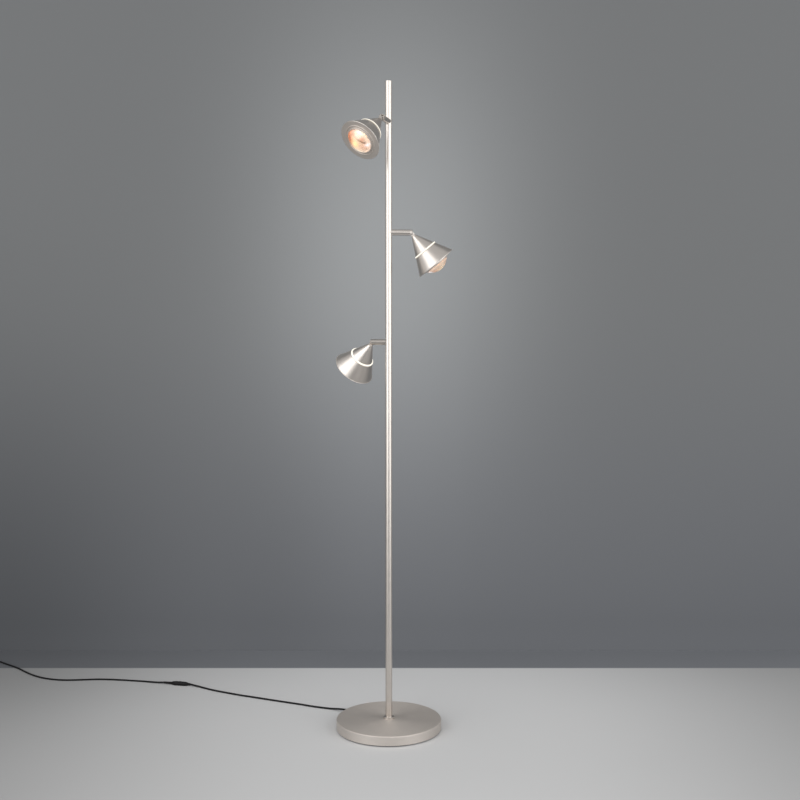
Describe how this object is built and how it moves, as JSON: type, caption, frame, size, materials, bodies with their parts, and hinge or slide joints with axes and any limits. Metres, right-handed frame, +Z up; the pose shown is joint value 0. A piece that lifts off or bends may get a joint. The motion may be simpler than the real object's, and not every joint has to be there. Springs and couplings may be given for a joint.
{
  "type": "floor lamp",
  "caption": "Slim floor lamp in satin nickel: round weighted base, straight pole and cone spotlights on short arms that turn and tilt, with a corded in-line switch.",
  "frame": {"origin": "centre of the underside of the foot pad, on the pole's axis", "axes": "+Z up along the pole, +X to the right roughly along the middle arm, -Y towards the viewer"},
  "size_m": [1.4335, 0.7303, 1.526],
  "materials": {
    "satin_nickel": "satin nickel plate, finely brushed",
    "raw_steel": "plain zinc-plated steel",
    "cast_iron": "as cast, painted black",
    "foot_pad": "black foam rubber",
    "driver_case": "white moulded plastic",
    "cord_rubber": "smooth black cord sheath",
    "black_plastic": "black moulded plastic, fine grain",
    "brass": "turned brass",
    "light_ring": "milky acrylic, lit warm white",
    "lens": "clear domed lens, lit warm",
    "reflector": "bright aluminised cup",
    "led_module": "anodised aluminium with a yellow chip"
  },
  "bodies": {
    "stand": {"base_cover": "satin_nickel", "base_weight": "cast_iron", "base_plate": "raw_steel", "base_pad": "foot_pad", "base_screws": "raw_steel", "driver": "driver_case", "inner_wires": "cord_rubber", "cord_gland": "cord_rubber", "pole_collar": "satin_nickel", "pole_foot_stud": "raw_steel", "pole_washer": "raw_steel", "pole_nut": "raw_steel", "pole_tube": "satin_nickel", "pole_cap": "satin_nickel", "arm_nipples": "raw_steel", "arm_bushes": "brass", "upper_arm": "satin_nickel", "middle_arm": "satin_nickel", "lower_arm": "satin_nickel", "cord_near": "cord_rubber", "switch_base": "black_plastic", "switch_cover": "black_plastic", "switch_spring": "raw_steel", "switch_contacts": "brass", "switch_boots": "cord_rubber", "cord_far": "cord_rubber", "cord_coil": "cord_rubber", "plug_body": "black_plastic", "plug_pins": "raw_steel"},
    "upper_swivel": {"upper_fork": "satin_nickel", "upper_hinge_screw": "raw_steel"},
    "upper_head": {"upper_neck": "satin_nickel", "upper_tip_shell": "satin_nickel", "upper_light_ring": "light_ring", "upper_shade": "satin_nickel", "upper_front_plate": "satin_nickel", "upper_lens": "lens", "upper_reflector": "reflector", "upper_led_module": "led_module"},
    "middle_swivel": {"middle_fork": "satin_nickel", "middle_hinge_screw": "raw_steel"},
    "middle_head": {"middle_neck": "satin_nickel", "middle_tip_shell": "satin_nickel", "middle_light_ring": "light_ring", "middle_shade": "satin_nickel", "middle_front_plate": "satin_nickel", "middle_lens": "lens", "middle_reflector": "reflector", "middle_led_module": "led_module"},
    "lower_swivel": {"lower_fork": "satin_nickel", "lower_hinge_screw": "raw_steel"},
    "lower_head": {"lower_neck": "satin_nickel", "lower_tip_shell": "satin_nickel", "lower_light_ring": "light_ring", "lower_shade": "satin_nickel", "lower_front_plate": "satin_nickel", "lower_lens": "lens", "lower_reflector": "reflector", "lower_led_module": "led_module"},
    "switch_push": {"switch_button": "black_plastic"}
  },
  "joints": [
    {"name": "upper_turn", "type": "hinge", "parent": "stand", "child": "upper_swivel", "pos_m": [-0.0124, -0.04326, 1.4335], "axis": [-0.2756, -0.9613, 0], "range_deg": [-142, 198]},
    {"name": "upper_tilt", "type": "hinge", "parent": "upper_swivel", "child": "upper_head", "pos_m": [-0.01433, -0.04999, 1.4335], "axis": [0.8487, -0.2434, -0.4695], "range_deg": [-48, 36]},
    {"name": "middle_turn", "type": "hinge", "parent": "stand", "child": "middle_swivel", "pos_m": [0.04483, 0.00392, 1.178], "axis": [0.9962, 0.0872, 0], "range_deg": [-170, 170]},
    {"name": "middle_tilt", "type": "hinge", "parent": "middle_swivel", "child": "middle_head", "pos_m": [0.0518, 0.00453, 1.178], "axis": [-0.0872, 0.9962, 0], "range_deg": [-50, 34]},
    {"name": "lower_turn", "type": "hinge", "parent": "stand", "child": "lower_swivel", "pos_m": [-0.03291, 0.03069, 0.9225], "axis": [-0.7314, 0.682, 0], "range_deg": [-167, 173]},
    {"name": "lower_tilt", "type": "hinge", "parent": "lower_swivel", "child": "lower_head", "pos_m": [-0.03803, 0.03546, 0.9225], "axis": [-0.6811, -0.7304, -0.0523], "range_deg": [-44, 40]},
    {"name": "switch_press", "type": "slide", "parent": "stand", "child": "switch_push", "axis": [0, 0, -1], "range_m": [0, 0.001], "stiffness_N_per_m": 400, "deforming": ["switch_spring"]}
  ]
}
